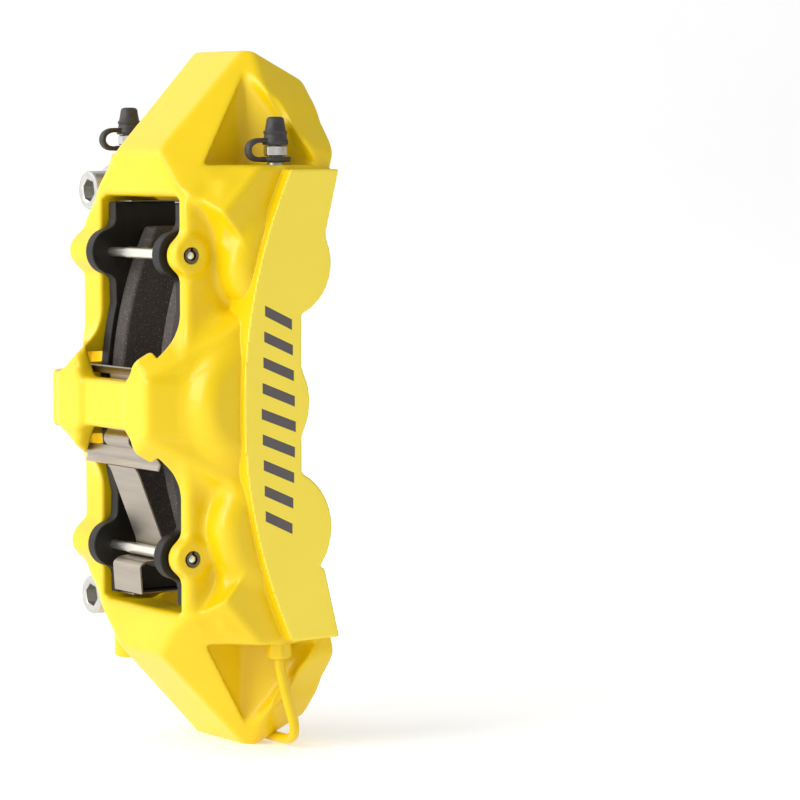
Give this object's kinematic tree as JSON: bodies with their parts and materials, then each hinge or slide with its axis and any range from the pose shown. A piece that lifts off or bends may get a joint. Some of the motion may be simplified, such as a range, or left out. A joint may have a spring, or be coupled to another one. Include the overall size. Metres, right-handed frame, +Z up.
{
  "type": "brake caliper",
  "caption": "Fixed disc brake caliper with opposed pistons, sliding pads on pins, a leaf spring, bleed screws, a crossover tube and two bolt mounts.",
  "frame": {"origin": "midway between the two mounting bolts, on the plane of the two mounting faces", "axes": "+X from the caliper towards the disc's axle, along the mounting bolts; +Y along the axle towards the inboard side; +Z up, along the caliper"},
  "size_m": [0.091, 0.1395, 0.331],
  "materials": {
    "yellow_paint": "gloss yellow powder coat over cast aluminium",
    "piston_alloy": "hard anodised, satin",
    "rubber": "matt black rubber",
    "black_plate": "black powder coat on steel",
    "lining": "sintered friction compound",
    "stainless": "rolled stainless strip",
    "zinc_steel": "zinc plated"
  },
  "bodies": {
    "caliper": {"caliper_body": "yellow_paint", "outboard_upper_seal": "rubber", "outboard_middle_seal": "rubber", "outboard_lower_seal": "rubber", "inboard_upper_seal": "rubber", "inboard_middle_seal": "rubber", "inboard_lower_seal": "rubber", "outboard_upper_dust_boot": "rubber", "outboard_middle_dust_boot": "rubber", "outboard_lower_dust_boot": "rubber", "inboard_upper_dust_boot": "rubber", "inboard_middle_dust_boot": "rubber", "inboard_lower_dust_boot": "rubber", "abutment_plates": "stainless", "upper_pad_pin": "zinc_steel", "lower_pad_pin": "zinc_steel", "pad_pin_clips": "stainless", "anti_rattle_spring": "stainless", "outboard_bleed_cap_strap": "rubber", "inboard_bleed_cap_strap": "rubber", "crossover_tube": "yellow_paint", "outboard_tube_nut": "yellow_paint", "inboard_tube_nut": "yellow_paint", "mounting_bolts": "zinc_steel", "bolt_washers": "zinc_steel"},
    "outboard_pad": {"outboard_backing_plate": "black_plate", "outboard_friction_lining": "lining", "outboard_shim": "stainless"},
    "outboard_upper_piston": {"outboard_upper_piston": "piston_alloy"},
    "outboard_middle_piston": {"outboard_middle_piston": "piston_alloy"},
    "outboard_lower_piston": {"outboard_lower_piston": "piston_alloy"},
    "inboard_pad": {"inboard_backing_plate": "black_plate", "inboard_friction_lining": "lining", "inboard_shim": "stainless"},
    "inboard_upper_piston": {"inboard_upper_piston": "piston_alloy"},
    "inboard_middle_piston": {"inboard_middle_piston": "piston_alloy"},
    "inboard_lower_piston": {"inboard_lower_piston": "piston_alloy"},
    "outboard_bleed_screw": {"outboard_bleed_screw": "zinc_steel"},
    "outboard_bleed_cap": {"outboard_bleed_cap": "rubber"},
    "inboard_bleed_screw": {"inboard_bleed_screw": "zinc_steel"},
    "inboard_bleed_cap": {"inboard_bleed_cap": "rubber"}
  },
  "joints": [
    {"name": "outboard_pad_slide", "type": "slide", "parent": "caliper", "child": "outboard_pad", "axis": [0, 1, 0], "range_m": [0, 0.009]},
    {"name": "outboard_upper_piston_slide", "type": "slide", "parent": "caliper", "child": "outboard_upper_piston", "axis": [0, 1, 0], "range_m": [0, 0.009]},
    {"name": "outboard_middle_piston_slide", "type": "slide", "parent": "caliper", "child": "outboard_middle_piston", "axis": [0, 1, 0], "range_m": [0, 0.009]},
    {"name": "outboard_lower_piston_slide", "type": "slide", "parent": "caliper", "child": "outboard_lower_piston", "axis": [0, 1, 0], "range_m": [0, 0.009]},
    {"name": "inboard_pad_slide", "type": "slide", "parent": "caliper", "child": "inboard_pad", "axis": [0, -1, 0], "range_m": [0, 0.009]},
    {"name": "inboard_upper_piston_slide", "type": "slide", "parent": "caliper", "child": "inboard_upper_piston", "axis": [0, -1, 0], "range_m": [0, 0.009]},
    {"name": "inboard_middle_piston_slide", "type": "slide", "parent": "caliper", "child": "inboard_middle_piston", "axis": [0, -1, 0], "range_m": [0, 0.009]},
    {"name": "inboard_lower_piston_slide", "type": "slide", "parent": "caliper", "child": "inboard_lower_piston", "axis": [0, -1, 0], "range_m": [0, 0.009]},
    {"name": "outboard_bleed_screw_turn", "type": "hinge", "parent": "caliper", "child": "outboard_bleed_screw", "pos_m": [0, -0.11, 0.113], "axis": [0, 0, 1], "range_deg": [0, 360]},
    {"name": "outboard_bleed_cap_pull", "type": "slide", "parent": "caliper", "child": "outboard_bleed_cap", "axis": [0, 0, 1], "range_m": [0, 0.012], "deforming": ["outboard_bleed_cap_strap"]},
    {"name": "inboard_bleed_screw_turn", "type": "hinge", "parent": "caliper", "child": "inboard_bleed_screw", "pos_m": [-0.016, -0.003, 0.118], "axis": [0, 0, 1], "range_deg": [0, 360]},
    {"name": "inboard_bleed_cap_pull", "type": "slide", "parent": "caliper", "child": "inboard_bleed_cap", "axis": [0, 0, 1], "range_m": [0, 0.012], "deforming": ["inboard_bleed_cap_strap"]}
  ],
  "couplings": [
    {"joint": "outboard_upper_piston_slide", "follows": "outboard_pad_slide", "ratio": 1},
    {"joint": "outboard_middle_piston_slide", "follows": "outboard_pad_slide", "ratio": 1},
    {"joint": "outboard_lower_piston_slide", "follows": "outboard_pad_slide", "ratio": 1},
    {"joint": "inboard_upper_piston_slide", "follows": "inboard_pad_slide", "ratio": 1},
    {"joint": "inboard_middle_piston_slide", "follows": "inboard_pad_slide", "ratio": 1},
    {"joint": "inboard_lower_piston_slide", "follows": "inboard_pad_slide", "ratio": 1}
  ]
}
